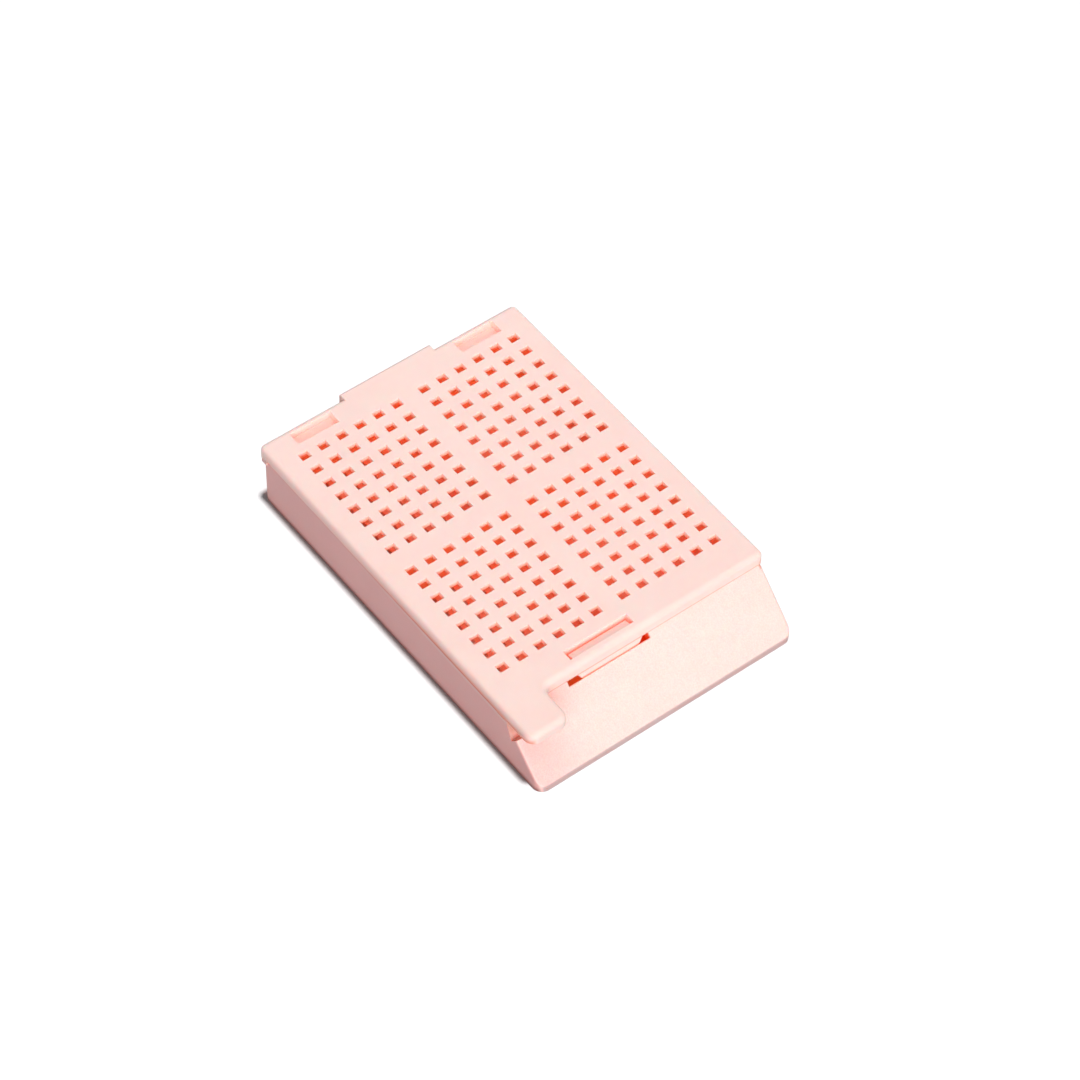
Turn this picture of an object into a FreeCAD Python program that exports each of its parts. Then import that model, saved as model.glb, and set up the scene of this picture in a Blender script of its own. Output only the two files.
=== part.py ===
# Tissue cassette: a slotted tray with a sloping writing plate, and a perforated lid hinged to it.
# X runs across the cassette, +Y towards the hinge, +Z up. The outlines are drawn from the middle
# of the hole pattern; the placement of both bodies puts the origin under the middle of the whole.

import FreeCAD, Part
import Sketcher
import os

doc = FreeCAD.newDocument("TissueCassette")
sheet = doc.addObject("Spreadsheet::Sheet", "Sizes")

# name, millimetres (degrees for the angle), what it is
SIZES = [
    ("case_height", 7.15, "closed height"),
    ("lid_thickness", 1.38, "edge of the lid"),
    ("lid_width", 28.6, "across the lid"),
    ("lid_length", 36.35, "along the lid, without its tabs"),
    ("lid_lead", 0.35, "the lid reaches further in front of the middle of the holes than behind it"),
    ("lid_corner", 0.56, "upright corners of the lid"),
    ("lid_rounding", 0.55, "top edge of the lid"),
    ("screen_thickness", 0.55, "perforated field of the lid"),
    ("screen_side", 1.7, "side of the lid to the side of its hollow"),
    ("screen_end", 2.7, "back edge of the lid to the end of its hollow"),
    ("seam_depth", 0.25, "height of the open seam under the lid's sides"),
    ("seam_width", 0.5, "depth of the open seam, from the side of the lid"),
    ("seam_front", 1.05, "front edge of the lid to the seam"),
    ("seam_back", 1.2, "back edge of the lid to the seam"),
    ("hole_width", 0.99, "hole, across"),
    ("hole_length", 0.86, "hole, along"),
    ("hole_side", 0.434, "last column of holes to the side of the lid's hollow"),
    ("hole_end", 0.302, "last row of holes to the end of the lid's hollow"),
    ("hole_middle_across", 3.042, "between the two columns beside the middle"),
    ("hole_middle_along", 2.956, "between the two rows beside the middle"),
    ("hole_columns", 6, "columns in a quarter"),
    ("hole_rows", 8, "rows in a quarter"),
    ("finger_width", 4.2, "finger tab, across"),
    ("finger_reach", 3.8, "finger tab, in front of the lid"),
    ("finger_lift", 0.15, "finger tab, thinner than the lid"),
    ("finger_corner", 1.0, "outer corners of the finger tab"),
    ("finger_root", 0.8, "inner corner beside the finger tab"),
    ("hinge_width", 10.0, "hinge tab, across"),
    ("hinge_reach", 0.6, "hinge tab, behind the lid"),
    ("hinge_rounding", 0.3, "far edge of the hinge tab"),
    ("hinge_depth", 1.0, "hinge tab of the base, down from the rim"),
    ("flange_margin", 0.05, "side of the lid to the side of the rear flange of the base"),
    ("flange_height", 0.5, "straight part of the rear flange"),
    ("flange_blend", 0.65, "height of the slope under the rear flange"),
    ("flange_slope", 25.0, "slope under the rear flange, from upright, in degrees"),
    ("well_side", 2.95, "side of the lid to a blind pocket"),
    ("well_end", 0.58, "back edge of the lid to a blind pocket"),
    ("well_width", 4.46, "blind pocket, across"),
    ("well_length", 1.48, "blind pocket, along"),
    ("well_depth", 0.87, "blind pocket, down"),
    ("slot_offset", 3.06, "middle of the latch slot, left of the middle of the lid"),
    ("slot_width", 6.9, "slot in the lid, across"),
    ("slot_back", 1.97, "front edge of the lid to the back of the slot"),
    ("latch_strip", 0.88, "thickness of the tongue and of the lid in front of the slot"),
    ("tongue_left", 6.36, "left side of the tongue, left of the middle of the lid"),
    ("tongue_width", 7.07, "latch tongue, across"),
    ("tongue_taper", 1.2, "each side of the tongue leans in, from the lid to the tip"),
    ("tongue_bulge", 0.1, "front of the tongue, in front of the lid"),
    ("tongue_bulge_drop", 0.45, "bulge of the tongue, below the lid"),
    ("catch_inset", 0.26, "left side of the tongue to the catch"),
    ("catch_width", 6.25, "catch behind the tongue, across"),
    ("tongue_drop", 1.85, "latch tongue, below the lid"),
    ("catch_tip_depth", 0.54, "back of the catch, below the top of the lid"),
    ("catch_top_depth", 0.25, "front of the catch, below the top of the lid"),
    ("catch_clearance", 0.15, "between the catch and the front wall of the tray"),
    ("window_offset", 3.035, "middle of the latch window, left of the middle of the base"),
    ("window_width", 8.91, "latch window in the deck, across"),
    ("window_gap", 0.2, "front edge of the lid to the lip of the plate"),
    ("window_rounding", 0.12, "lip of the plate under the window"),
    ("base_side", 0.2, "side of the lid to the side of the base"),
    ("base_end", 0.3, "back edge of the lid to the back wall of the base"),
    ("base_corner", 0.6, "upright back corners of the base"),
    ("plate_corner", 1.0, "lower corners of the writing plate"),
    ("rim_rounding", 0.5, "outer edge of the rim"),
    ("plate_rounding", 0.35, "edges of the writing plate"),
    ("wall_thickness", 1.0, "side and back walls, and the deck"),
    ("front_wall_thickness", 0.95, "front wall of the tray"),
    ("deck_length", 2.85, "front edge of the lid to the front of the tray inside"),
    ("tray_corner", 0.6, "upright corners inside the tray"),
    ("floor_thickness", 0.8, "perforated floor"),
    ("foot_height", 0.3, "foot round the floor"),
    ("foot_width", 1.4, "foot round the floor, across"),
    ("divider_thickness", 0.9, "cross dividers"),
    ("divider_clearance", 0.15, "between the dividers and the lid"),
    ("plate_angle", 45.0, "writing plate to the ground, in degrees"),
    ("plate_thickness", 1.0, "writing plate"),
    ("plate_inset", 0.13, "front edge of the lid to the top of the writing plate, behind it"),
    ("plate_land", 0.69, "upright edge at the foot of the writing plate"),
    ("grip_drop", 1.64, "finger cut-out in the writing plate, down from the rim"),
    ("grip_margin", 0.15, "finger cut-out, beyond the finger tab"),
]
for row, (name, size, meaning) in enumerate(SIZES, 1):
    sheet.set("A%d" % row, meaning)
    sheet.set("B%d" % row, str(size))
    sheet.setAlias("B%d" % row, name)
doc.recompute()

# Levels and places that follow from the sizes.
JOINT = "(Sizes.case_height - Sizes.lid_thickness)"
FLOOR_TOP = "(Sizes.foot_height + Sizes.floor_thickness)"
LID_BACK = "((Sizes.lid_length - Sizes.lid_lead) / 2)"
LID_FRONT = "((Sizes.lid_length + Sizes.lid_lead) / 2)"
BASE_BACK = "(%s - Sizes.base_end)" % LID_BACK
BASE_HALF = "(Sizes.lid_width / 2 - Sizes.base_side)"
TRAY_BACK = "(%s - Sizes.wall_thickness)" % BASE_BACK
TRAY_HALF = "(%s - Sizes.wall_thickness)" % BASE_HALF
TRAY_FRONT = "(Sizes.deck_length - %s)" % LID_FRONT
FRONT_WALL = "(%s - Sizes.front_wall_thickness)" % TRAY_FRONT
PLATE_RUN = "((%s - Sizes.plate_land) / tan(Sizes.plate_angle))" % JOINT
PLATE_TOP = "(Sizes.plate_inset - %s)" % LID_FRONT
PLATE_FOOT = "(%s - %s)" % (PLATE_TOP, PLATE_RUN)
SCREEN_HALF = "(Sizes.lid_width / 2 - Sizes.screen_side)"
SCREEN_LONG = "(%s - Sizes.screen_end)" % LID_BACK
HINGE_LINE = "(%s + Sizes.hinge_reach)" % LID_BACK
GRID_SHIFT = "(-(%s + %s) / 2)" % (PLATE_FOOT, HINGE_LINE)


def value(text):
    """The number that a size expression comes to."""
    result = sheet.evalExpression(text)
    return float(getattr(result, "Value", result))


def new_body(name):
    """An empty body whose outlines are drawn from the middle of the hole pattern."""
    body = doc.addObject("PartDesign::Body", name.capitalize())
    body.Label = name
    body.setExpression("Placement.Base.y", GRID_SHIFT)
    return body


def origin_item(body, role):
    """A plane or an axis of the body's own origin."""
    return [item for item in body.Origin.OriginFeatures if item.Role == role][0]


def new_sketch(body, name, role, lift):
    """An empty sketch on an origin plane, moved along the plane's normal by lift."""
    sketch = body.newObject("Sketcher::SketchObject", name)
    sketch.AttachmentSupport = [(origin_item(body, role), "")]
    sketch.MapMode = "FlatFace"
    sketch.setExpression("AttachmentOffset.Base.z", lift)
    return sketch


def tie(sketch, kind, corner, text):
    """Tie a corner's distance from the sketch origin to a size expression."""
    name = "%s%d" % (kind[-1].lower(), corner)
    place = sketch.addConstraint(Sketcher.Constraint(kind, -1, 1, corner, 1, value(text)))
    sketch.renameConstraint(place, name)
    sketch.setExpression("Constraints.%s" % name, text)


def draw_loop(sketch, corners):
    """Closed loop of straight lines through the corners."""
    points = [FreeCAD.Vector(value(across), value(up), 0) for across, up in corners]
    count = len(points)
    for corner in range(count):
        following = points[(corner + 1) % count]
        sketch.addGeometry(Part.LineSegment(points[corner], following), False)
    for corner in range(count):
        sketch.addConstraint(
            Sketcher.Constraint("Coincident", corner, 2, (corner + 1) % count, 1)
        )


def outline(body, name, role, corners, lift="0"):
    """Sketch of a closed outline, each corner a pair of size expressions."""
    sketch = new_sketch(body, name, role, lift)
    draw_loop(sketch, corners)
    for corner, (across, up) in enumerate(corners):
        tie(sketch, "DistanceX", corner, across)
        tie(sketch, "DistanceY", corner, up)
    return sketch


def rectangle(body, name, role, left, right, low, high, lift="0"):
    """Sketch of an upright rectangle between four size expressions."""
    sketch = new_sketch(body, name, role, lift)
    draw_loop(sketch, [(left, low), (right, low), (right, high), (left, high)])
    for line in (0, 2):
        sketch.addConstraint(Sketcher.Constraint("Horizontal", line))
    for line in (1, 3):
        sketch.addConstraint(Sketcher.Constraint("Vertical", line))
    tie(sketch, "DistanceX", 0, left)
    tie(sketch, "DistanceY", 0, low)
    tie(sketch, "DistanceX", 2, right)
    tie(sketch, "DistanceY", 2, high)
    return sketch


def extrude(body, kind, name, sketch, length, side="One side", turned=False):
    """Pad or pocket of a sketch; a pocket runs against the sketch's normal unless turned."""
    feature = body.newObject("PartDesign::%s" % kind, name)
    feature.Profile = sketch
    feature.SideType = side
    feature.Reversed = turned
    feature.setExpression("Length", length)
    sketch.Visibility = False
    doc.recompute()
    return feature


def upright_edges(feature, spots):
    """Names of the upright edges that stand at the given places."""
    found = []
    for number, edge in enumerate(feature.Shape.Edges, 1):
        first, last = edge.Vertexes[0].Point, edge.Vertexes[-1].Point
        upright = abs(first.x - last.x) < 1e-6 and abs(first.y - last.y) < 1e-6
        if upright and any(
            abs(first.x - value(across)) < 1e-4 and abs(first.y - value(along)) < 1e-4
            for across, along in spots
        ):
            found.append("Edge%d" % number)
    return found


def level_edges(feature, level, along_x=None, along_y=None):
    """Names of the edges lying at a level, all of them or those on one straight line."""
    found = []
    for number, edge in enumerate(feature.Shape.Edges, 1):
        ends = [vertex.Point for vertex in edge.Vertexes]
        if any(abs(end.z - value(level)) > 1e-4 for end in ends):
            continue
        if along_x is not None and any(abs(end.x - value(along_x)) > 1e-4 for end in ends):
            continue
        if along_y is not None and any(abs(end.y - value(along_y)) > 1e-4 for end in ends):
            continue
        found.append("Edge%d" % number)
    return found


def round_edges(body, name, feature, edges, radius):
    """Fillet the named edges of the feature before it."""
    fillet = body.newObject("PartDesign::Fillet", name)
    fillet.Base = (feature, edges)
    fillet.setExpression("Radius", radius)
    doc.recompute()
    return fillet


def punch_holes(body, name, lift, depth):
    """The four quarters of the hole pattern, cut downwards from a level."""
    middle_across = "Sizes.hole_middle_across / 2"
    middle_along = "Sizes.hole_middle_along / 2"
    sketch = rectangle(
        body,
        name + "HoleOutline",
        "XY_Plane",
        "%s - Sizes.hole_width / 2" % middle_across,
        "%s + Sizes.hole_width / 2" % middle_across,
        "%s - Sizes.hole_length / 2" % middle_along,
        "%s + Sizes.hole_length / 2" % middle_along,
        lift,
    )
    hole = extrude(body, "Pocket", name + "Hole", sketch, depth)
    pattern = body.newObject("PartDesign::MultiTransform", name + "HolePattern")
    pattern.Originals = [hole]
    columns = body.newObject("PartDesign::LinearPattern", name + "HoleColumns")
    columns.Direction = (origin_item(body, "X_Axis"), [""])
    columns.Mode = "Spacing"
    columns.setExpression(
        "Offset",
        "(%s - Sizes.hole_side - Sizes.hole_width / 2 - %s) / (Sizes.hole_columns - 1)"
        % (SCREEN_HALF, middle_across),
    )
    columns.setExpression("Occurrences", "Sizes.hole_columns")
    rows = body.newObject("PartDesign::LinearPattern", name + "HoleRows")
    rows.Direction = (origin_item(body, "Y_Axis"), [""])
    rows.Mode = "Spacing"
    rows.setExpression(
        "Offset",
        "(%s - Sizes.hole_end - Sizes.hole_length / 2 - %s) / (Sizes.hole_rows - 1)"
        % (SCREEN_LONG, middle_along),
    )
    rows.setExpression("Occurrences", "Sizes.hole_rows")
    sideways = body.newObject("PartDesign::Mirrored", name + "HolesAcross")
    sideways.MirrorPlane = (origin_item(body, "YZ_Plane"), [""])
    lengthways = body.newObject("PartDesign::Mirrored", name + "HolesAlong")
    lengthways.MirrorPlane = (origin_item(body, "XZ_Plane"), [""])
    pattern.Transformations = [columns, rows, sideways, lengthways]
    body.Tip = pattern
    doc.recompute()
    return pattern


# ---- Base: tray, deck and writing plate in one moulding ----
base = new_body("base")

# Block the size of the base, with its upright corners rounded.
block_outline = rectangle(
    base, "BlockOutline", "XY_Plane", "-" + BASE_HALF, BASE_HALF, PLATE_FOOT, BASE_BACK
)
block = extrude(base, "Pad", "Block", block_outline, JOINT)
rear_corners = [("-" + BASE_HALF, BASE_BACK), (BASE_HALF, BASE_BACK)]
rear = round_edges(base, "RearCorners", block, upright_edges(block, rear_corners), "Sizes.base_corner")
front_corners = [("-" + BASE_HALF, PLATE_FOOT), (BASE_HALF, PLATE_FOOT)]
front = round_edges(base, "PlateCorners", rear, upright_edges(rear, front_corners), "Sizes.plate_corner")

# The sloping face of the writing plate.
slope_outline = outline(
    base,
    "SlopeOutline",
    "YZ_Plane",
    [
        (PLATE_TOP, JOINT),
        (PLATE_FOOT, "Sizes.plate_land"),
        (PLATE_FOOT + " - 1", "Sizes.plate_land"),
        (PLATE_FOOT + " - 1", JOINT + " + 1"),
        (PLATE_TOP, JOINT + " + 1"),
    ],
)
slope = extrude(base, "Pocket", "Slope", slope_outline, "2 * %s + 2" % BASE_HALF, "Symmetric")

# Rounded outer edge of the rim, round the sides and the back.
rim_edges = level_edges(slope, JOINT, along_x="-" + BASE_HALF) + level_edges(slope, JOINT, along_x=BASE_HALF)
rim = round_edges(base, "RimRounding", slope, rim_edges, "Sizes.rim_rounding")

# Rounded edges of the writing plate, down both sides and along its foot.
def slope_edges(feature, across):
    """Names of the straight edges that run down the writing plate at one side."""
    found = []
    for number, edge in enumerate(feature.Shape.Edges, 1):
        ends = [vertex.Point for vertex in edge.Vertexes]
        beside = all(abs(end.x - value(across)) < 1e-4 for end in ends)
        if beside and len(ends) == 2 and abs(ends[0].z - ends[1].z) > 0.5 < abs(ends[0].y - ends[1].y):
            found.append("Edge%d" % number)
    return found


plate_edges = slope_edges(rim, "-" + BASE_HALF) + slope_edges(rim, BASE_HALF)
plate_rounded = round_edges(base, "PlateRounding", rim, plate_edges, "Sizes.plate_rounding")

# Rear flange, as deep as the lid, sloping back to the wall underneath.
half_flange = "(Sizes.lid_width / 2 - Sizes.flange_margin)"
flange_front = TRAY_BACK + " + Sizes.wall_thickness / 4"
flange_outline = rectangle(
    base,
    "FlangeOutline",
    "XY_Plane",
    "-" + half_flange,
    half_flange,
    flange_front,
    LID_BACK,
    JOINT,
)
flange = extrude(base, "Pad", "Flange", flange_outline, "Sizes.flange_height", turned=True)
blend_outline = rectangle(
    base,
    "FlangeBlendOutline",
    "XY_Plane",
    "-" + half_flange,
    half_flange,
    flange_front,
    LID_BACK,
    JOINT + " - Sizes.flange_height",
)
blend = extrude(base, "Pad", "FlangeBlend", blend_outline, "Sizes.flange_blend", turned=True)
blend.setExpression("TaperAngle", "-Sizes.flange_slope")
doc.recompute()
flange_corners = [("-" + half_flange, LID_BACK), (half_flange, LID_BACK)]
flange_rounded = round_edges(
    base, "FlangeCorners", blend, upright_edges(blend, flange_corners), "Sizes.lid_corner"
)

# Lower half of the hinge tab.
half_hinge = "(Sizes.hinge_width / 2)"
lower_hinge_outline = rectangle(
    base,
    "LowerHingeOutline",
    "XY_Plane",
    "-" + half_hinge,
    half_hinge,
    BASE_BACK,
    HINGE_LINE,
    JOINT,
)
lower_hinge = extrude(
    base, "Pad", "LowerHinge", lower_hinge_outline, "Sizes.hinge_depth", turned=True
)

# The tray.
tray_outline = rectangle(
    base, "TrayOutline", "XY_Plane", "-" + TRAY_HALF, TRAY_HALF, TRAY_FRONT, TRAY_BACK, JOINT
)
tray = extrude(base, "Pocket", "Tray", tray_outline, JOINT + " - " + FLOOR_TOP)
tray_corners = [
    (side + TRAY_HALF, end) for side in ("-", "") for end in (TRAY_FRONT, TRAY_BACK)
]
tray_rounded = round_edges(
    base, "TrayCorners", tray, upright_edges(tray, tray_corners), "Sizes.tray_corner"
)

# Foot left standing round the underside of the floor.
sole_outline = rectangle(
    base,
    "SoleOutline",
    "XY_Plane",
    "-" + BASE_HALF + " + Sizes.foot_width",
    BASE_HALF + " - Sizes.foot_width",
    FRONT_WALL + " + Sizes.foot_width",
    BASE_BACK + " - Sizes.foot_width",
)
sole = extrude(base, "Pocket", "Sole", sole_outline, "Sizes.foot_height", turned=True)

# Space under the deck and the writing plate, open at the bottom.
plate_depth = "Sizes.plate_thickness / sin(Sizes.plate_angle)"
under_outline = outline(
    base,
    "UnderPlateOutline",
    "YZ_Plane",
    [
        (FRONT_WALL, "-1"),
        (FRONT_WALL, JOINT + " - Sizes.wall_thickness"),
        (
            "%s + %s - Sizes.wall_thickness / tan(Sizes.plate_angle)" % (PLATE_TOP, plate_depth),
            JOINT + " - Sizes.wall_thickness",
        ),
        (
            "%s + %s - (%s + 1) / tan(Sizes.plate_angle)" % (PLATE_TOP, plate_depth, JOINT),
            "-1",
        ),
    ],
)
under = extrude(base, "Pocket", "UnderPlate", under_outline, "2 * " + TRAY_HALF, "Symmetric")

# Cross dividers, a little higher than the rim so that they reach into the lid.
divider_height = (
    "%s - %s + Sizes.lid_thickness - Sizes.screen_thickness - Sizes.divider_clearance" % (JOINT, FLOOR_TOP)
)
half_divider = "(Sizes.divider_thickness / 2)"
divider_end = "(%s - 2 * Sizes.divider_clearance)" % SCREEN_HALF
long_end = "(%s - 2 * Sizes.divider_clearance)" % SCREEN_LONG
long_outline = rectangle(
    base,
    "LongDividerOutline",
    "XY_Plane",
    "-" + half_divider,
    half_divider,
    "-" + long_end,
    long_end,
    FLOOR_TOP,
)
long_divider = extrude(base, "Pad", "LongDivider", long_outline, divider_height)
long_root_outline = rectangle(
    base,
    "LongDividerRootOutline",
    "XY_Plane",
    "-" + half_divider,
    half_divider,
    TRAY_FRONT + " - Sizes.front_wall_thickness / 2",
    TRAY_BACK + " + Sizes.wall_thickness / 2",
    FLOOR_TOP,
)
long_root = extrude(base, "Pad", "LongDividerRoot", long_root_outline, JOINT + " - " + FLOOR_TOP)
cross_outline = rectangle(
    base,
    "CrossDividerOutline",
    "XY_Plane",
    "-" + divider_end,
    divider_end,
    "-" + half_divider,
    half_divider,
    FLOOR_TOP,
)
cross_divider = extrude(base, "Pad", "CrossDivider", cross_outline, divider_height)
cross_root_outline = rectangle(
    base,
    "CrossDividerRootOutline",
    "XY_Plane",
    "-%s - Sizes.wall_thickness / 2" % TRAY_HALF,
    "%s + Sizes.wall_thickness / 2" % TRAY_HALF,
    "-" + half_divider,
    half_divider,
    FLOOR_TOP,
)
cross_root = extrude(base, "Pad", "CrossDividerRoot", cross_root_outline, JOINT + " - " + FLOOR_TOP)

# Latch window, through the deck and the top of the writing plate.
window_outline = rectangle(
    base,
    "WindowOutline",
    "XY_Plane",
    "-Sizes.window_offset - Sizes.window_width / 2",
    "-Sizes.window_offset + Sizes.window_width / 2",
    "-%s - Sizes.window_gap" % LID_FRONT,
    FRONT_WALL,
    JOINT,
)
window = extrude(base, "Pocket", "Window", window_outline, "2 * Sizes.wall_thickness")
lip_edges = level_edges(
    window,
    JOINT + " - (Sizes.window_gap + Sizes.plate_inset) * tan(Sizes.plate_angle)",
    along_y="-%s - Sizes.window_gap" % LID_FRONT,
)
lip = round_edges(base, "WindowLip", window, lip_edges, "Sizes.window_rounding")

# Finger cut-out in the upper left corner of the writing plate, square to its face.
grip_y = "(%s - Sizes.grip_drop / tan(Sizes.plate_angle))" % PLATE_TOP
grip_z = "(%s - Sizes.grip_drop)" % JOINT
grip_outline = outline(
    base,
    "GripOutline",
    "YZ_Plane",
    [
        (PLATE_TOP, JOINT),
        (
            grip_y + " + Sizes.plate_thickness * sin(Sizes.plate_angle)",
            grip_z + " - Sizes.plate_thickness * cos(Sizes.plate_angle)",
        ),
        (
            grip_y + " - Sizes.plate_thickness * sin(Sizes.plate_angle)",
            grip_z + " + Sizes.plate_thickness * cos(Sizes.plate_angle)",
        ),
        (grip_y + " - Sizes.plate_thickness * sin(Sizes.plate_angle)", JOINT + " + 1"),
        (PLATE_TOP, JOINT + " + 1"),
    ],
    "-%s - 1" % BASE_HALF,
)
grip = extrude(
    base,
    "Pocket",
    "Grip",
    grip_outline,
    "%s + 1 - Sizes.lid_width / 2 + Sizes.finger_width + Sizes.grip_margin" % BASE_HALF,
    turned=True,
)

# Holes through the floor.
base_holes = punch_holes(base, "Floor", FLOOR_TOP, "Sizes.floor_thickness")


# ---- Lid: perforated cover with its finger tab and latch tongue in one moulding ----
lid = new_body("lid")
half_lid = "(Sizes.lid_width / 2)"

# Cover and finger tab in one outline.
finger_inner = "(-%s + Sizes.finger_width)" % half_lid
finger_end = "(-%s - Sizes.finger_reach)" % LID_FRONT
cover_outline = outline(
    lid,
    "CoverOutline",
    "XY_Plane",
    [
        ("-" + half_lid, finger_end),
        (finger_inner, finger_end),
        (finger_inner, "-" + LID_FRONT),
        (half_lid, "-" + LID_FRONT),
        (half_lid, LID_BACK),
        ("-" + half_lid, LID_BACK),
    ],
    JOINT,
)
cover = extrude(lid, "Pad", "Cover", cover_outline, "Sizes.lid_thickness")
cover_corners = [
    (half_lid, "-" + LID_FRONT),
    (half_lid, LID_BACK),
    ("-" + half_lid, LID_BACK),
]
cover_rounded = round_edges(
    lid, "CoverCorners", cover, upright_edges(cover, cover_corners), "Sizes.lid_corner"
)
tab_corners = [("-" + half_lid, finger_end), (finger_inner, finger_end)]
tab_rounded = round_edges(
    lid, "FingerCorners", cover_rounded, upright_edges(cover_rounded, tab_corners), "Sizes.finger_corner"
)
root_corner = [(finger_inner, "-" + LID_FRONT)]
root_rounded = round_edges(
    lid, "FingerRoot", tab_rounded, upright_edges(tab_rounded, root_corner), "Sizes.finger_root"
)
top_edges = level_edges(root_rounded, "Sizes.case_height", along_x=half_lid)
top_rounded = round_edges(lid, "TopRounding", root_rounded, top_edges, "Sizes.lid_rounding")

# Upper half of the hinge tab, flush with the top of the lid.
upper_hinge_outline = rectangle(
    lid,
    "UpperHingeOutline",
    "XY_Plane",
    "-" + half_hinge,
    half_hinge,
    LID_BACK + " - 2 * Sizes.lid_rounding",
    HINGE_LINE,
    JOINT,
)
upper_hinge = extrude(lid, "Pad", "UpperHinge", upper_hinge_outline, "Sizes.lid_thickness")
far_edge = level_edges(upper_hinge, "Sizes.case_height", along_y=HINGE_LINE)
hinge_rounded = round_edges(lid, "HingeRounding", upper_hinge, far_edge, "Sizes.hinge_rounding")

# The finger tab is a little thinner than the lid.
finger_under_outline = rectangle(
    lid,
    "FingerUnderOutline",
    "XY_Plane",
    "-%s - 1" % half_lid,
    finger_inner + " + Sizes.finger_root",
    finger_end + " - 1",
    "-" + LID_FRONT,
    JOINT,
)
finger_under = extrude(
    lid, "Pocket", "FingerUnder", finger_under_outline, "Sizes.finger_lift", turned=True
)

# Hollow underneath, which leaves the perforated field thin.
hollow_outline = rectangle(
    lid,
    "HollowOutline",
    "XY_Plane",
    "-" + SCREEN_HALF,
    SCREEN_HALF,
    "-" + SCREEN_LONG,
    SCREEN_LONG,
    JOINT,
)
hollow = extrude(
    lid, "Pocket", "Hollow", hollow_outline, "Sizes.lid_thickness - Sizes.screen_thickness", turned=True
)

# Open seam along the underside of both long edges.
for side, left, right in (
    ("Left", "-%s - 1" % half_lid, "-%s + Sizes.seam_width" % half_lid),
    ("Right", "%s - Sizes.seam_width" % half_lid, "%s + 1" % half_lid),
):
    seam_outline = rectangle(
        lid,
        side + "SeamOutline",
        "XY_Plane",
        left,
        right,
        "-%s + Sizes.seam_front" % LID_FRONT,
        LID_BACK + " - Sizes.seam_back",
        JOINT,
    )
    seam = extrude(lid, "Pocket", side + "Seam", seam_outline, "Sizes.seam_depth", turned=True)

# Two blind pockets behind the holes.
well_outer = "(%s - Sizes.well_side)" % half_lid
well_inner = "(%s - Sizes.well_width)" % well_outer
well_back = "(%s - Sizes.well_end)" % LID_BACK
for side, left, right in (("Left", "-" + well_outer, "-" + well_inner), ("Right", well_inner, well_outer)):
    well_outline = rectangle(
        lid,
        side + "WellOutline",
        "XY_Plane",
        left,
        right,
        well_back + " - Sizes.well_length",
        well_back,
        "Sizes.case_height",
    )
    well = extrude(lid, "Pocket", side + "Well", well_outline, "Sizes.well_depth")

# Slot for the latch, then the tongue with its catch.
slot_outline = rectangle(
    lid,
    "SlotOutline",
    "XY_Plane",
    "-Sizes.slot_offset - Sizes.slot_width / 2",
    "-Sizes.slot_offset + Sizes.slot_width / 2",
    "-%s + Sizes.latch_strip" % LID_FRONT,
    "-%s + Sizes.slot_back" % LID_FRONT,
    "Sizes.case_height",
)
slot = extrude(lid, "Pocket", "Slot", slot_outline, "Sizes.lid_thickness")
tongue_back = "(-%s + Sizes.latch_strip)" % LID_FRONT
half_strip = "Sizes.latch_strip / 2"
tongue_outline = outline(
    lid,
    "TongueOutline",
    "YZ_Plane",
    [
        ("-" + LID_FRONT, JOINT + " + Sizes.lid_thickness / 2"),
        ("-" + LID_FRONT, JOINT),
        ("-%s - Sizes.tongue_bulge" % LID_FRONT, JOINT + " - Sizes.tongue_bulge_drop"),
        ("-%s - Sizes.tongue_bulge" % LID_FRONT, JOINT + " - 2 * Sizes.tongue_bulge_drop"),
        ("-%s + " % LID_FRONT + half_strip, JOINT + " - Sizes.tongue_drop"),
        (tongue_back, JOINT + " - Sizes.tongue_drop"),
        (tongue_back, JOINT + " + Sizes.lid_thickness / 2"),
    ],
    "-Sizes.tongue_left",
)
tongue = extrude(lid, "Pad", "Tongue", tongue_outline, "Sizes.tongue_width")
catch_tip = FRONT_WALL + " - Sizes.catch_clearance"
catch_outline = outline(
    lid,
    "CatchOutline",
    "YZ_Plane",
    [
        (tongue_back + " - " + half_strip, JOINT + " - Sizes.tongue_drop / 2"),
        (tongue_back, JOINT + " - Sizes.tongue_drop / 2"),
        (catch_tip, JOINT + " + Sizes.lid_thickness / 4"),
        (catch_tip, "Sizes.case_height - Sizes.catch_tip_depth"),
        (tongue_back, "Sizes.case_height - Sizes.catch_top_depth"),
        (tongue_back + " - " + half_strip, "Sizes.case_height - Sizes.catch_top_depth"),
    ],
    "Sizes.catch_inset - Sizes.tongue_left",
)
catch = extrude(lid, "Pad", "Catch", catch_outline, "Sizes.catch_width")

# The sides of the tongue lean in towards its tip.
for side, edge, lean, away in (
    ("Left", "-Sizes.tongue_left", " + ", " - "),
    ("Right", "Sizes.tongue_width - Sizes.tongue_left", " - ", " + "),
):
    taper_outline = outline(
        lid,
        side + "TaperOutline",
        "XZ_Plane",
        [
            (edge, JOINT),
            (edge + lean + "2 * Sizes.tongue_taper", JOINT + " - 2 * Sizes.tongue_drop"),
            (edge + away + "1", JOINT + " - 2 * Sizes.tongue_drop"),
            (edge + away + "1", JOINT),
        ],
    )
    taper = extrude(lid, "Pocket", side + "Taper", taper_outline, "2 * %s + 2" % LID_FRONT, "Symmetric")

# Holes through the thin field.
lid_holes = punch_holes(lid, "Lid", "Sizes.case_height", "Sizes.screen_thickness")

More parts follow.
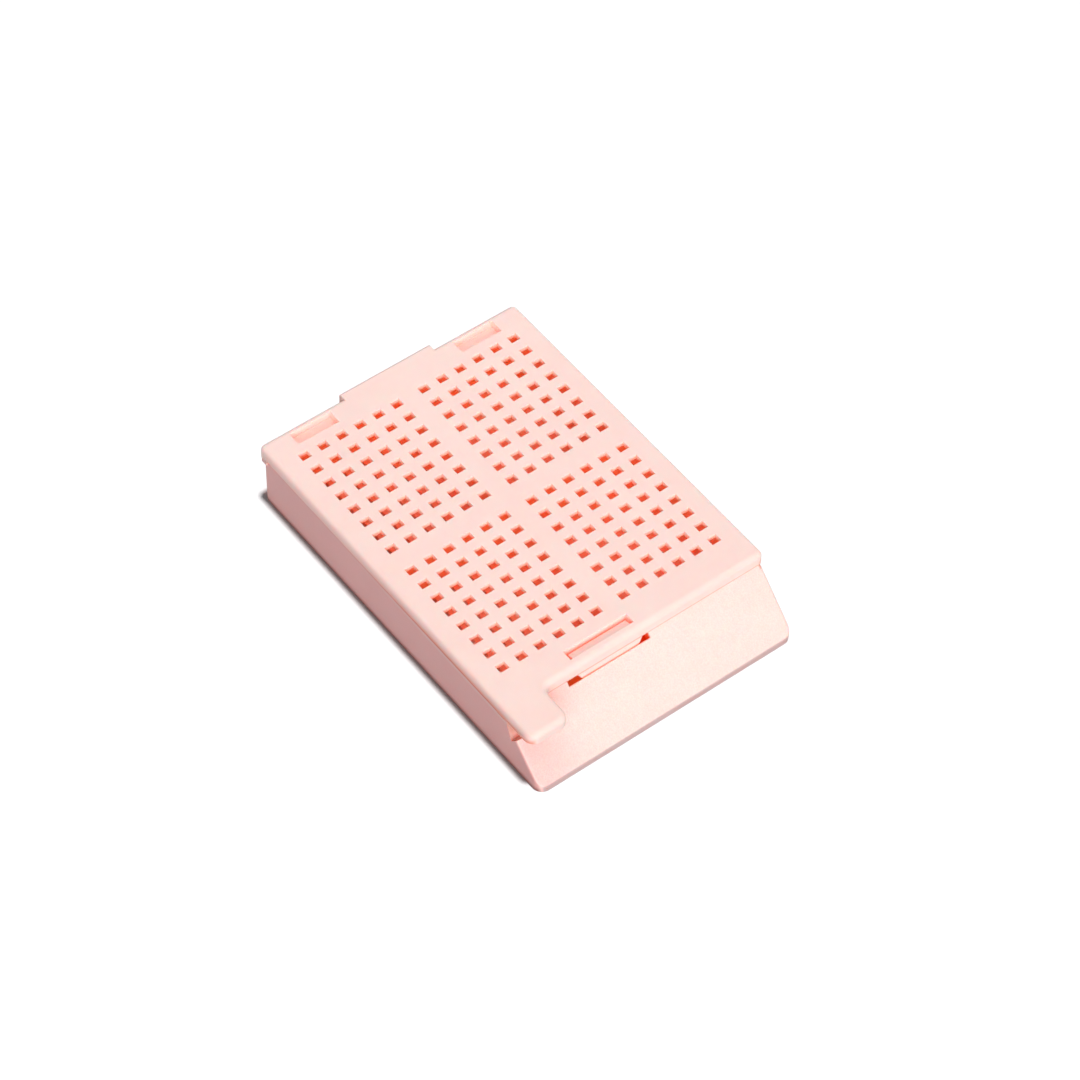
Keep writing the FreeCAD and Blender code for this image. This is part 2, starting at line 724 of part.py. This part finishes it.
doc.recompute()
for item in doc.Objects:
    if "Invalid" in item.State or "Error" in item.State:
        raise RuntimeError("%s did not build: %s" % (item.Name, item.State))
os.makedirs("parts", exist_ok=True)
for body in (base, lid):
    if body.Shape.isNull() or not body.Shape.isValid() or len(body.Shape.Solids) != 1:
        raise RuntimeError("%s is not one sound solid" % body.Label)
    body.Shape.exportStep("parts/%s.step" % body.Label)
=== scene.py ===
from math import pi, radians

import bpy
from mathutils import Matrix, Vector


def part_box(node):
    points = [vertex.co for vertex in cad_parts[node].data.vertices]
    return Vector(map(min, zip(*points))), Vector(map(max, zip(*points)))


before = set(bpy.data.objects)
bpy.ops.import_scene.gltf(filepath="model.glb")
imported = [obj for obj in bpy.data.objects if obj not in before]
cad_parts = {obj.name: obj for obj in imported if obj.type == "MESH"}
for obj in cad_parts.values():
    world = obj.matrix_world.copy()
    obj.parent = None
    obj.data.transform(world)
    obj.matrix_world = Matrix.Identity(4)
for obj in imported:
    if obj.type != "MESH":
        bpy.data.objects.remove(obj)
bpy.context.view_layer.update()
scene = bpy.context.scene


# ---- Base ----
# The tray with its sloping writing plate: one injection moulding in pale pink acetal, a plastic that
# lets some light through. Its walls are satin, and the writing plate is eroded to take pencil and ink.

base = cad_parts["base"]
MM = 0.001


def add(tree, kind, *feeds, **settings):
    """Add a node, link or set its inputs in order, then its properties by name."""
    node = tree.nodes.new(kind)
    for name, setting in settings.items():
        setattr(node, name, setting)
    for place, feed in enumerate(feeds):
        if feed is None:
            continue
        if isinstance(feed, bpy.types.NodeSocket):
            tree.links.new(feed, node.inputs[place])
        else:
            node.inputs[place].default_value = feed
    return node


def maths(tree, operation, *feeds):
    """The result of one Math node."""
    return add(tree, "ShaderNodeMath", *feeds, operation=operation).outputs[0]


def overlap(tree, *masks):
    """Where all the masks lie over each other: their product."""
    product = masks[0]
    for mask in masks[1:]:
        product = maths(tree, "MULTIPLY", product, mask)
    return product


def ramp(tree, value, start, end, bottom=0.0, top=1.0):
    """A smooth change from bottom to top while the value goes from start to end."""
    feeds = (value, start, end, bottom, top)
    return add(tree, "ShaderNodeMapRange", *feeds, interpolation_type="SMOOTHSTEP").outputs["Result"]


def new_group(name, inputs, outputs):
    """An empty shader node group with its named sockets, and its input and output nodes."""
    group = bpy.data.node_groups.new(name, "ShaderNodeTree")
    for label, kind in inputs:
        group.interface.new_socket(label, in_out="INPUT", socket_type=kind)
    for label, kind in outputs:
        group.interface.new_socket(label, in_out="OUTPUT", socket_type=kind)
    return group, add(group, "NodeGroupInput"), add(group, "NodeGroupOutput")


# Where the surface lies on the case: each output but Lean is a mask from 0 to 1. The case is closed,
# with x across it, y along it to the hinge, and z up from the table. The places are set out from the
# boxes of the two mouldings.
MASKS = (
    "Inside", "Tongue Gap", "Recess", "Pocket", "Plate", "Plate Corner", "Wall", "Upper Wall",
    "Outer", "Sole", "Rim", "Above Rim", "Seam", "Foot", "Shaded Edge",
)
half_width, back_end, lid_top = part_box("lid")[1]
front_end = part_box("base")[0].y
LID_THICKNESS = 1.38 * MM
LAND_TOP = 0.69 * MM
RIM = lid_top - LID_THICKNESS
SIDE = half_width - 0.2 * MM
PLATE_TOP = front_end + RIM - LAND_TOP
places, taken, given = new_group(
    "case_places",
    [("Position", "NodeSocketVector"), ("Normal", "NodeSocketVector")],
    [(label, "NodeSocketFloat") for label in MASKS] + [("Lean", "NodeSocketVector")],
)
x, y, z = add(places, "ShaderNodeSeparateXYZ", taken.outputs["Position"]).outputs
facing_x, facing_y = add(places, "ShaderNodeSeparateXYZ", taken.outputs["Normal"]).outputs[:2]
across = maths(places, "ABSOLUTE", x)
above_rim = maths(places, "SUBTRACT", z, RIM)
behind_plate = maths(places, "SUBTRACT", maths(places, "SUBTRACT", y, PLATE_TOP), above_rim)

# The hollow of the tray with the space under the plate, up to a line inside the walls.
SIDE_WALL = SIDE - 0.7 * MM
BACK_WALL = back_end - 1.55 * MM
UNDERSIDE = 0.35 * MM
tray_hollow = overlap(
    places,
    maths(places, "LESS_THAN", across, SIDE_WALL),
    maths(places, "LESS_THAN", y, BACK_WALL),
    maths(places, "GREATER_THAN", z, UNDERSIDE),
    ramp(places, z, RIM - 0.02 * MM, RIM - 0.10 * MM),
    ramp(places, behind_plate, 0.20 * MM, 0.45 * MM),
)

# The hollow of the lid with the walls of its holes, down to a little below the rim.
SCREEN_SIDE = half_width - 1.6 * MM
SCREEN_BACK = back_end - 3.25 * MM
SCREEN_FRONT = SCREEN_BACK - 31.0 * MM
SCREEN_FOOT = RIM - 0.77 * MM
lid_hollow = overlap(
    places,
    maths(places, "LESS_THAN", across, SCREEN_SIDE),
    maths(places, "LESS_THAN", y, SCREEN_BACK),
    maths(places, "GREATER_THAN", y, SCREEN_FRONT),
    maths(places, "GREATER_THAN", z, SCREEN_FOOT),
    ramp(places, z, lid_top - 0.03 * MM, lid_top - 0.35 * MM),
)
hollow = maths(places, "MAXIMUM", tray_hollow, lid_hollow)

# The latch window in front of the tray: a deep gap beside the tongue, painted with a red glow, and the
# tongue itself, which takes less of the painted inner glow.
FRONT_WALL = PLATE_TOP + 2.27 * MM
TONGUE_MIDDLE = -2.825 * MM
TONGUE_HALF = 3.3 * MM
in_front = maths(places, "LESS_THAN", y, FRONT_WALL)
in_tray = maths(places, "SUBTRACT", 1.0, in_front)
from_tongue = maths(places, "ABSOLUTE", maths(places, "SUBTRACT", x, TONGUE_MIDDLE))
beside_tongue = ramp(places, from_tongue, TONGUE_HALF, TONGUE_HALF + 0.25 * MM)
tongue_gap = overlap(places, hollow, in_front, beside_tongue)
tongue_tone = ramp(places, beside_tongue, 0.0, 1.0, 0.35, 1.0)
inside = overlap(places, hollow, maths(places, "MAXIMUM", in_tray, tongue_tone))

# The cut-out in the writing plate, under the finger tab, where its shade is painted.
RECESS_SIDE = 4.5 * MM - half_width
RECESS_BACK = PLATE_TOP + 0.07 * MM
RECESS_FOOT = RIM - 2.47 * MM
recess = overlap(
    places,
    maths(places, "LESS_THAN", x, RECESS_SIDE),
    maths(places, "LESS_THAN", y, RECESS_BACK),
    maths(places, "GREATER_THAN", z, RECESS_FOOT),
    maths(places, "LESS_THAN", z, RIM),
    ramp(places, facing_x, -0.2, 0.0),
    ramp(places, behind_plate, 0.0, 0.08 * MM),
)

# The floors of the two blind pockets in the lid, painted lighter as painted light.
POCKET_FLOOR = lid_top - 0.87 * MM
POCKET_FRONT = back_end - 2.95 * MM
POCKET_BACK = back_end - 0.95 * MM
POCKET_SIDE = half_width - 2.6 * MM
pocket = overlap(
    places,
    ramp(places, z, POCKET_FLOOR + 0.07 * MM, POCKET_FLOOR + 0.02 * MM),
    maths(places, "GREATER_THAN", z, POCKET_FLOOR - 0.28 * MM),
    maths(places, "GREATER_THAN", y, POCKET_FRONT),
    maths(places, "LESS_THAN", y, POCKET_BACK),
    maths(places, "LESS_THAN", across, POCKET_SIDE),
)

# The writing plate, and its corner under the finger tab, where the tab's shadow is painted on.
plate = overlap(
    places,
    ramp(places, maths(places, "ABSOLUTE", behind_plate), 0.12 * MM, 0.04 * MM),
    maths(places, "LESS_THAN", z, RIM - 0.02 * MM),
)
plate_corner = overlap(places, plate, ramp(places, x, -6.0 * MM, -13.0 * MM))

# The side walls and the back wall, and what lies outermost or lowest. The walls take a painted shaded
# tone, darker towards the bottom.
FOOT_TOP = 0.75 * MM
outer = ramp(places, across, SIDE - 0.5 * MM, SIDE - 0.1 * MM)
sideways = ramp(places, maths(places, "ABSOLUTE", facing_x), 0.6, 0.95)
backwards = ramp(places, facing_y, 0.5, 0.95)
side_wall = overlap(places, sideways, outer)
back_wall = overlap(places, backwards, maths(places, "GREATER_THAN", y, BACK_WALL))
wall = maths(places, "MAXIMUM", side_wall, back_wall)
upper_wall = ramp(places, z, 0.5 * MM, 5.0 * MM)
sole = maths(places, "LESS_THAN", z, FOOT_TOP)
# Painted shade at the foot of the outer walls.
foot = overlap(places, ramp(places, z, FOOT_TOP, -0.15 * MM), outer)

# Painted shade in the joint between base and lid, growing towards the front, and a painted highlight
# on the edge of the rim below it.
widening = ramp(places, y, 12.0 * MM, -8.0 * MM, 0.15, 1.0)
rim = overlap(
    places,
    ramp(places, above_rim, -0.80 * MM, -0.60 * MM),
    ramp(places, above_rim, -0.40 * MM, -0.46 * MM),
    widening,
)
side_seam = overlap(
    places,
    ramp(places, above_rim, -0.42 * MM, -0.34 * MM),
    ramp(places, above_rim, 0.90 * MM, 0.20 * MM),
    outer,
    widening,
)
thin_seam = overlap(
    places,
    ramp(places, above_rim, -0.05 * MM, 0.0, 0.0, 0.85),
    ramp(places, above_rim, 0.17 * MM, 0.04 * MM),
)
seam = maths(places, "MAXIMUM", side_seam, thin_seam)
over_rim = ramp(places, above_rim, 0.0, 0.15 * MM)

# Painted shade on the far edge of the hinge tab and on the upright edge at the foot of the writing
# plate.
tab_edge = ramp(places, y, back_end - 0.33 * MM, back_end - 0.15 * MM, 0.0, 0.5)
land = overlap(
    places,
    ramp(places, y, front_end + 0.25 * MM, front_end + 0.07 * MM),
    ramp(places, z, LAND_TOP + 0.11 * MM, LAND_TOP - 0.03 * MM),
)
shaded_edge = maths(places, "MAXIMUM", tab_edge, land)

# The sides of the lid glow upwards: their shading normal leans to the light from above.
lean = overlap(
    places,
    ramp(places, above_rim, 0.02 * MM, 0.85 * MM, 0.05, 1.0),
    outer,
    maths(places, "GREATER_THAN", above_rim, 0.001 * MM),
    ramp(places, maths(places, "ABSOLUTE", facing_y), 0.9, 0.3),
)
upward = add(places, "ShaderNodeCombineXYZ", None, None, lean).outputs[0]
leaning = add(places, "ShaderNodeVectorMath", taken.outputs["Normal"], upward, operation="ADD")
leaning = add(places, "ShaderNodeVectorMath", leaning.outputs[0], operation="NORMALIZE").outputs[0]

for label, found in (
    ("Inside", inside), ("Tongue Gap", tongue_gap), ("Recess", recess), ("Pocket", pocket),
    ("Plate", plate), ("Plate Corner", plate_corner), ("Wall", wall), ("Upper Wall", upper_wall),
    ("Outer", outer), ("Sole", sole), ("Rim", rim), ("Above Rim", over_rim), ("Seam", seam),
    ("Foot", foot), ("Shaded Edge", shaded_edge), ("Lean", leaning),
):
    places.links.new(found, given.inputs[label])

# Faint clouding of the tone that moulded acetal has, and the fine grain of an eroded mould face.
CLOUDS_PER_METRE = 220.0
GRAINS_PER_METRE = 7000.0
GRAIN_TONE = 0.3
surface, taken, given = new_group(
    "moulded_surface",
    [("Position", "NodeSocketVector"), ("Grain", "NodeSocketFloat")],
    [("Tone", "NodeSocketFloat"), ("Height", "NodeSocketFloat")],
)
noises = []
for scale, detail in ((CLOUDS_PER_METRE, 3.0), (GRAINS_PER_METRE, 2.0)):
    noise = add(surface, "ShaderNodeTexNoise", taken.outputs["Position"], noise_dimensions="3D")
    noise.inputs["Scale"].default_value = scale
    noise.inputs["Detail"].default_value = detail
    noises.append(noise.outputs[0])
cloud, grain = noises
speckle = overlap(surface, maths(surface, "SUBTRACT", grain, 0.5), taken.outputs["Grain"])
tone = maths(
    surface, "ADD", ramp(surface, cloud, 0.3, 0.7, 0.985, 1.015),
    maths(surface, "MULTIPLY", speckle, GRAIN_TONE),
)
surface.links.new(tone, given.inputs["Tone"])
surface.links.new(speckle, given.inputs["Height"])

# Tones of the plastic by place. Most are painted light and shade: a painted glow inside the case,
# where light is held between its walls, painted shade on the walls, in the joint and in the cut-out,
# and painted light on the rim and the pocket floors.
PALE = (0.99, 0.688, 0.635, 1)
# Painted shadow of the finger tab on the writing plate.
PLATE_TAB_SHADOW = (0.99, 0.615, 0.58, 1)
# Painted shade: the walls, which stand in shade, in a deeper tone that is darker towards the foot.
SHADED_WALL_FOOT = (0.85, 0.44, 0.42, 1)
SHADED_WALL_TOP = (0.875, 0.452, 0.435, 1)
# Painted highlight on the edge of the rim.
RIM_HIGHLIGHT = (0.90, 0.55, 0.53, 1)
# Painted shaded tone of the lid's sides.
SHADED_LID_SIDE = (0.98, 0.62, 0.575, 1)
# Painted light on the pocket floors.
POCKET_LIGHT = (0.99, 0.76, 0.72, 1)
# Painted glow: the hollows of the case in a deeper tone, standing in for the light held between its
# walls.
INNER_GLOW = (0.95, 0.635, 0.53, 1)
# Painted red glow in the gap beside the latch tongue.
TONGUE_GAP_GLOW = (0.98, 0.20, 0.07, 1)
# Painted shade in the cut-out under the finger tab.
RECESS_SHADE = (0.74, 0.42, 0.36, 1)
# These are painted shade, laid over the tone to darken it.
SEAM_SHADE = (0.88, 0.55, 0.45, 1)
FOOT_SHADE = (0.34, 0.20, 0.20, 1)
SHADED = (0.60, 0.61, 0.65, 1)
# The light that comes through: a wall, the thin writing plate, and the outermost faces.
THROUGH = (0.545, 0.29, 0.13, 1)
THROUGH_PLATE = (0.92, 0.22, 0.07, 1)
CLOSED = (0.0, 0.0, 0.0, 1)
PLATE_ROUGHNESS = 0.62


def blend(tree, factor, first, second, way="MIX"):
    """One colour laid over another: a colour Mix node takes them at its inputs 0, 6 and 7."""
    feeds = [factor] + [None] * 5 + [first, second]
    return add(tree, "ShaderNodeMix", *feeds, data_type="RGBA", blend_type=way).outputs[2]


def acetal(name, grain_height, roughness):
    """Pale pink acetal, with a deeper painted glow inside the case and painted light and shade by
    place, letting a red light through.
    """
    material = bpy.data.materials.new(name)
    material.use_nodes = True
    tree = material.node_tree
    tree.nodes.clear()
    position = add(tree, "ShaderNodeTexCoord").outputs["Object"]
    normal = add(tree, "ShaderNodeNewGeometry").outputs["Normal"]
    where = add(tree, "ShaderNodeGroup", node_tree=places)
    tree.links.new(position, where.inputs["Position"])
    tree.links.new(normal, where.inputs["Normal"])
    where = where.outputs
    look = add(tree, "ShaderNodeGroup", node_tree=surface)
    tree.links.new(position, look.inputs["Position"])
    tree.links.new(where["Plate"], look.inputs["Grain"])
    # Painted shade on the walls, darker towards the foot, a painted highlight on the rim edge, and the
    # lid's sides in a painted shaded tone.
    walls = blend(tree, where["Upper Wall"], SHADED_WALL_FOOT, SHADED_WALL_TOP)
    walls = blend(tree, where["Rim"], walls, RIM_HIGHLIGHT)
    walls = blend(tree, where["Above Rim"], walls, SHADED_LID_SIDE)
    colour = blend(tree, where["Plate Corner"], PALE, PLATE_TAB_SHADOW)
    # Painted light on the pocket floors, a painted glow inside the case and in the latch gap, and
    # painted shade in the cut-out.
    for mask, over in (
        ("Wall", walls), ("Pocket", POCKET_LIGHT), ("Inside", INNER_GLOW), ("Tongue Gap", TONGUE_GAP_GLOW),
        ("Recess", RECESS_SHADE),
    ):
        colour = blend(tree, where[mask], colour, over)
    # Painted shade in the joint, at the foot and on the shaded edges.
    for mask, over in (("Seam", SEAM_SHADE), ("Foot", FOOT_SHADE), ("Shaded Edge", SHADED)):
        colour = blend(tree, where[mask], colour, over, "MULTIPLY")
    colour = blend(tree, 1.0, colour, look.outputs["Tone"], "MULTIPLY")
    bump = add(tree, "ShaderNodeBump")
    bump.inputs["Strength"].default_value = 1.0
    bump.inputs["Distance"].default_value = grain_height
    tree.links.new(look.outputs["Height"], bump.inputs["Height"])
    tree.links.new(where["Lean"], bump.inputs["Normal"])
    skin = add(tree, "ShaderNodeBsdfPrincipled")
    tree.links.new(colour, skin.inputs["Base Color"])
    grained = ramp(tree, where["Plate"], 0.0, 1.0, roughness, PLATE_ROUGHNESS)
    tree.links.new(grained, skin.inputs["Roughness"])
    tree.links.new(bump.outputs[0], skin.inputs["Normal"])
    skin.inputs["IOR"].default_value = 1.48
    skin.inputs["Specular IOR Level"].default_value = 0.15
    skin.inputs["Subsurface Weight"].default_value = 1.0
    skin.inputs["Subsurface Radius"].default_value = (1.0, 0.45, 0.35)
    skin.inputs["Subsurface Scale"].default_value = 0.22 * MM
    dyed = blend(tree, where["Plate"], THROUGH, THROUGH_PLATE)
    dyed = blend(tree, where["Outer"], dyed, CLOSED)
    dyed = blend(tree, where["Sole"], dyed, CLOSED)
    through = add(tree, "ShaderNodeBsdfTransparent", dyed)
    shadow = add(tree, "ShaderNodeLightPath").outputs["Is Shadow Ray"]
    pick = add(tree, "ShaderNodeMixShader", shadow, skin.outputs[0], through.outputs[0])
    add(tree, "ShaderNodeOutputMaterial", pick.outputs[0])
    return material


base.data.materials.clear()
base.data.materials.append(acetal("base_acetal", grain_height=0.05 * MM, roughness=0.42))


# ---- Lid ----
# The perforated cover with its finger tab and latch tongue: one injection moulding in the same acetal.
# It is polished a little smoother than the base, and a thin strip of the plastic joins the two.

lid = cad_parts["lid"]
lid.data.materials.clear()
lid.data.materials.append(acetal("lid_acetal", grain_height=0.0, roughness=0.40))


# ---- Table and room ----
# The cassette stands on a plain white table in a plain white room. The table looks white to the eye
# but throws little light back, so that the sides of the case keep their shade.

TABLE_REACH = 2.0
corners = [(-1, -1), (1, -1), (1, 1), (-1, 1)]
floor_mesh = bpy.data.meshes.new("table")
floor_mesh.from_pydata([(TABLE_REACH * a, TABLE_REACH * b, 0) for a, b in corners], [], [(0, 1, 2, 3)])
floor = bpy.data.objects.new("table", floor_mesh)
scene.collection.objects.link(floor)


def shown(tree):
    """1 for the rays that see the white surroundings: from the camera, off gloss and through glass."""
    path = add(tree, "ShaderNodeLightPath").outputs
    off_gloss = maths(tree, "MAXIMUM", path["Is Glossy Ray"], path["Is Transmission Ray"])
    return maths(tree, "MAXIMUM", path["Is Camera Ray"], off_gloss)


table_white = bpy.data.materials.new("table_white")
table_white.use_nodes = True
tree = table_white.node_tree
tree.nodes.clear()
lit = add(tree, "ShaderNodeBsdfDiffuse", (0.09, 0.08, 0.08, 1))
seen = add(tree, "ShaderNodeBsdfDiffuse", (0.55, 0.55, 0.555, 1))
pick = add(tree, "ShaderNodeMixShader", shown(tree), lit.outputs[0], seen.outputs[0])
add(tree, "ShaderNodeOutputMaterial", pick.outputs[0])
floor_mesh.materials.append(table_white)

world = bpy.data.worlds.new("room")
scene.world = world
world.use_nodes = True
tree = world.node_tree
tree.nodes.clear()
room = add(tree, "ShaderNodeBackground", (0.97, 0.98, 1.0, 1), 0.12)
backdrop = add(tree, "ShaderNodeBackground", (1, 1, 1, 1), 1.0)
pick = add(tree, "ShaderNodeMixShader", shown(tree), room.outputs[0], backdrop.outputs[0])
add(tree, "ShaderNodeOutputWorld", pick.outputs[0])


# ---- Light ----
# Soft lamps far away, like studio boxes: two on the table alone, which keep it white and give the
# thin shadow at the foot, and four on the case, from the front, front left, back right and above.


def lamp(name, travel, strength, spread, table_only=False):
    """A soft lamp far away, on the table alone or on all but the table, with its spread in degrees.

    At a strength of 1 it would light a white face that looks straight at it to full white.
    """
    light = bpy.data.lights.new(name, "SUN")
    light.energy = strength * pi
    light.angle = radians(spread)
    holder = bpy.data.objects.new(name, light)
    scene.collection.objects.link(holder)
    holder.rotation_mode = "QUATERNION"
    holder.rotation_quaternion = Vector(travel).to_track_quat("-Z", "Y")
    group = bpy.data.collections.new(name + "_reach")
    group.objects.link(floor)
    holder.light_linking.receiver_collection = group
    group.collection_objects[0].light_linking.link_state = "INCLUDE" if table_only else "EXCLUDE"


lamp("table_light", (-0.035, 0.04, -1.0), 1.68, 5.5, table_only=True)
lamp("table_fill", (0.0, 0.0, -1.0), 0.12, 120.0, table_only=True)
lamp("key_light", (0.0, 0.906, -0.423), 0.57, 40.0)
lamp("side_light", (0.641, 0.641, -0.423), 0.56, 40.0)
lamp("back_light", (-0.5, -0.66, -0.56), 0.38, 50.0)
lamp("top_light", (-0.035, 0.0, -1.0), 0.27, 60.0)

scene.cycles.max_bounces = 24
scene.cycles.diffuse_bounces = 16
scene.cycles.transparent_max_bounces = 16
scene.view_settings.view_transform = "Standard"


# ---- Camera ----
# A long lens that looks down on the cassette from beyond its front left corner, turned a little
# about its own axis. Its place and its directions are in the frame of the case.

camera_data = bpy.data.cameras.new("camera")
camera_data.sensor_width = 36.0
camera_data.lens = 136.22
camera_data.clip_start = 0.01
camera_data.clip_end = 10.0
camera = bpy.data.objects.new("camera", camera_data)
scene.collection.objects.link(camera)
scene.camera = camera
forward = Vector((0.38862, 0.48188, -0.78534)).normalized()
right = Vector((0.79384, -0.60780, 0.01988)).normalized()
turn = Matrix((right, right.cross(forward), -forward)).transposed().to_4x4()
stand = Vector((-0.139997, -0.175945, 0.288735))
camera.matrix_world = Matrix.Translation(stand) @ turn
